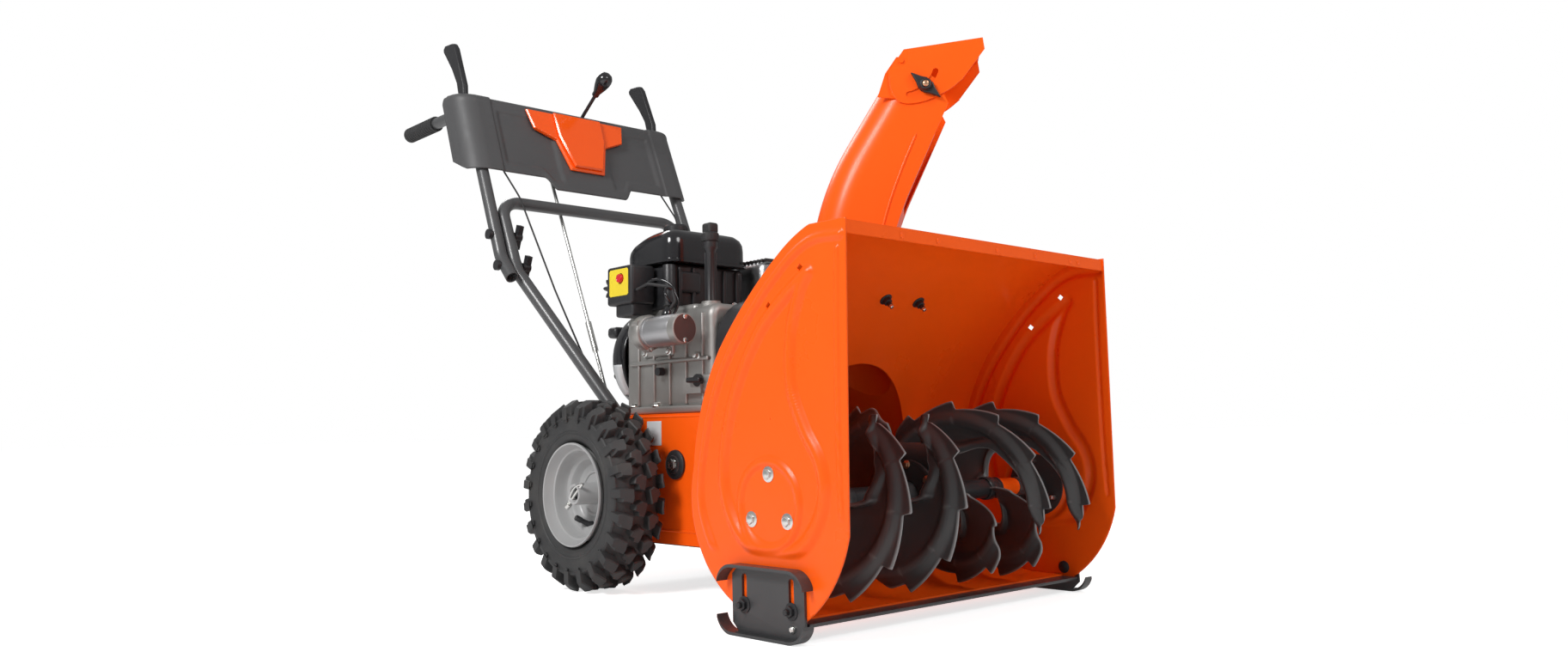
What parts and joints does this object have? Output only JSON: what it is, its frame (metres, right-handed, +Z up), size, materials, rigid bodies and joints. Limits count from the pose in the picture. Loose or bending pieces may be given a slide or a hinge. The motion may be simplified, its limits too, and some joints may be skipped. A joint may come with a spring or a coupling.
{
  "type": "two stage snowblower",
  "caption": "Walk-behind two stage snow thrower with serrated augers, impeller, turning chute, engine, wheels and U handle with levers.",
  "frame": {"origin": "bottom centre of the whole machine, on the ground", "axes": "+Z up, front of the machine faces -Y, +X to the machine's left"},
  "size_m": [0.66, 1.386, 1.109],
  "materials": {
    "orange_paint": "glossy powder coat",
    "black_paint": "satin powder coat",
    "tube_paint": "satin grey powder coat",
    "console_plastic": "moulded grain",
    "black_plastic": "moulded grain",
    "badge_plastic": "gloss",
    "grip_rubber": "ribbed",
    "tyre_rubber": "moulded tread",
    "rim_paint": "satin",
    "zinc": "zinc plated",
    "steel": "turned",
    "cast_iron": "as cast",
    "cast_aluminium": "die cast",
    "bronze": "machined",
    "red_plastic": "gloss",
    "belt_rubber": "fabric covered"
  },
  "bodies": {
    "machine": {"housing_wall": "orange_paint", "side_plate_right": "orange_paint", "side_plate_left": "orange_paint", "impeller_housing": "orange_paint", "chute_collar": "black_plastic", "scraper_bar": "black_paint", "housing_bolts": "zinc", "flange_bearings": "cast_iron", "gear_case": "cast_iron", "tractor_frame": "orange_paint", "bottom_cover": "black_paint", "engine_block": "cast_aluminium", "engine_cover": "black_plastic", "fuel_tank": "black_plastic", "blower_housing": "black_plastic", "belts": "belt_rubber", "belt_cover": "black_plastic", "muffler": "black_paint", "starter_motor": "cast_aluminium", "control_box": "black_plastic", "oil_fill_tube": "black_plastic", "upper_handles": "tube_paint", "lower_handle": "tube_paint", "handle_knobs": "black_plastic", "hand_grips": "grip_rubber", "console": "console_plastic", "badge": "badge_plastic", "cables": "grip_rubber"},
    "wheels": {"axle": "steel", "axle_gear": "steel", "wheel_rims": "rim_paint", "tyres": "tyre_rubber", "wheel_pins": "zinc"},
    "counter_shaft": {"counter_gear": "steel"},
    "hexagon_shaft": {"hex_shaft": "steel"},
    "friction_disc": {"friction_wheel": "belt_rubber"},
    "drive_disc": {"drive_plate": "cast_aluminium"},
    "engine_shaft": {"crankshaft": "steel"},
    "impeller": {"impeller": "black_paint", "impeller_shaft": "steel", "impeller_pulley": "cast_iron"},
    "auger": {"auger_shaft": "steel", "auger_half_right": "black_paint", "auger_half_left": "black_paint", "shear_pins": "zinc", "worm_wheel": "bronze"},
    "chute": {"chute": "orange_paint"},
    "deflector": {"deflector": "orange_paint"},
    "deflector_knob": {"deflector_knob": "black_plastic"},
    "shoe_right": {"skid_shoe_right": "black_paint"},
    "shoe_left": {"skid_shoe_left": "black_paint"},
    "lever_right": {"lever_right": "black_plastic"},
    "lever_left": {"lever_left": "black_plastic"},
    "speed_lever": {"speed_lever": "black_plastic"},
    "shift_rod": {"shift_rod": "zinc"},
    "start_button": {"start_button": "red_plastic"},
    "choke_knob": {"choke_knob": "black_plastic"},
    "fuel_cap": {"fuel_cap": "black_plastic"},
    "oil_cap": {"oil_cap": "black_plastic"},
    "recoil_handle": {"recoil_handle": "black_plastic"}
  },
  "joints": [
    {"name": "axle_spin", "type": "hinge", "parent": "machine", "child": "wheels", "pos_m": [0, 0.021, 0.162], "axis": [1, 0, 0], "continuous": true},
    {"name": "counter_spin", "type": "hinge", "parent": "machine", "child": "counter_shaft", "pos_m": [0, -0.043, 0.186], "axis": [1, 0, 0], "continuous": true},
    {"name": "hexagon_spin", "type": "hinge", "parent": "machine", "child": "hexagon_shaft", "pos_m": [0, -0.119, 0.21], "axis": [1, 0, 0], "continuous": true},
    {"name": "friction_slide", "type": "slide", "parent": "hexagon_shaft", "child": "friction_disc", "axis": [1, 0, 0], "range_m": [-0.006, 0.04]},
    {"name": "engine_spin", "type": "hinge", "parent": "machine", "child": "engine_shaft", "pos_m": [0, 0.021, 0.402], "axis": [0, 1, 0], "continuous": true},
    {"name": "drive_disc_spin", "type": "hinge", "parent": "machine", "child": "drive_disc", "pos_m": [0, -0.182, 0.21], "axis": [0, 1, 0], "continuous": true},
    {"name": "auger_spin", "type": "hinge", "parent": "machine", "child": "auger", "pos_m": [0, -0.539, 0.168], "axis": [1, 0, 0], "continuous": true},
    {"name": "impeller_spin", "type": "hinge", "parent": "machine", "child": "impeller", "pos_m": [0, -0.379, 0.22], "axis": [0, -1, 0], "continuous": true},
    {"name": "chute_turn", "type": "hinge", "parent": "machine", "child": "chute", "pos_m": [0.04, -0.365, 0.43], "axis": [0, 0, 1], "range_deg": [-140, 60]},
    {"name": "deflector_tilt", "type": "hinge", "parent": "chute", "child": "deflector", "pos_m": [0.11199, -0.4508, 0.872], "axis": [-0.766, -0.6428, 0], "range_deg": [-25, 25]},
    {"name": "deflector_knob_turn", "type": "hinge", "parent": "chute", "child": "deflector_knob", "pos_m": [0.0828, -0.5249, 0.826], "axis": [-0.766, -0.6428, 0], "range_deg": [-180, 180]},
    {"name": "shoe_slide_right", "type": "slide", "parent": "machine", "child": "shoe_right", "axis": [0, 0, 1], "range_m": [-0.034, 0.004]},
    {"name": "shoe_slide_left", "type": "slide", "parent": "machine", "child": "shoe_left", "axis": [0, 0, 1], "range_m": [-0.034, 0.004]},
    {"name": "auger_lever", "type": "hinge", "parent": "machine", "child": "lever_left", "pos_m": [0.252, 0.439, 0.966], "axis": [-1, 0, 0], "range_deg": [0, 55], "stiffness_Nm_per_rad": 0.6, "springref_deg": -11.46},
    {"name": "drive_lever", "type": "hinge", "parent": "machine", "child": "lever_right", "pos_m": [-0.252, 0.439, 0.966], "axis": [-1, 0, 0], "range_deg": [0, 55], "stiffness_Nm_per_rad": 0.6, "springref_deg": -11.46},
    {"name": "speed_select", "type": "hinge", "parent": "machine", "child": "speed_lever", "pos_m": [0.03, 0.396, 0.905], "axis": [-1, 0, 0], "range_deg": [-4, 28]},
    {"name": "shift_rod_slide", "type": "slide", "parent": "machine", "child": "shift_rod", "axis": [0, 0.4104, 0.9119], "range_m": [-0.0145, 0.0035]},
    {"name": "start_press", "type": "slide", "parent": "machine", "child": "start_button", "axis": [1, 0, 0], "range_m": [0, 0.003], "stiffness_N_per_m": 600, "springref_m": -0.002},
    {"name": "choke_turn", "type": "hinge", "parent": "machine", "child": "choke_knob", "pos_m": [-0.122, 0.066, 0.532], "axis": [0, 1, 0], "range_deg": [0, 90]},
    {"name": "fuel_cap_turn", "type": "hinge", "parent": "machine", "child": "fuel_cap", "pos_m": [-0.03, 0.001, 0.64], "axis": [0, 0, 1], "range_deg": [0, 180]},
    {"name": "oil_cap_turn", "type": "hinge", "parent": "machine", "child": "oil_cap", "pos_m": [-0.062, -0.137, 0.6], "axis": [0, 0, 1], "range_deg": [0, 180]},
    {"name": "recoil_pull", "type": "slide", "parent": "machine", "child": "recoil_handle", "axis": [0, 1, 0], "range_m": [0, 0.025], "stiffness_N_per_m": 150, "springref_m": -0.004}
  ],
  "couplings": [
    {"joint": "counter_spin", "follows": "axle_spin", "ratio": -2.7889},
    {"joint": "hexagon_spin", "follows": "axle_spin", "ratio": 7.0029},
    {"joint": "drive_disc_spin", "follows": "engine_spin", "ratio": 0.45454},
    {"joint": "impeller_spin", "follows": "auger_spin", "ratio": 10},
    {"joint": "friction_slide", "follows": "speed_select", "m_per_rad": 0.08},
    {"joint": "shift_rod_slide", "follows": "speed_select", "m_per_rad": -0.0269}
  ]
}
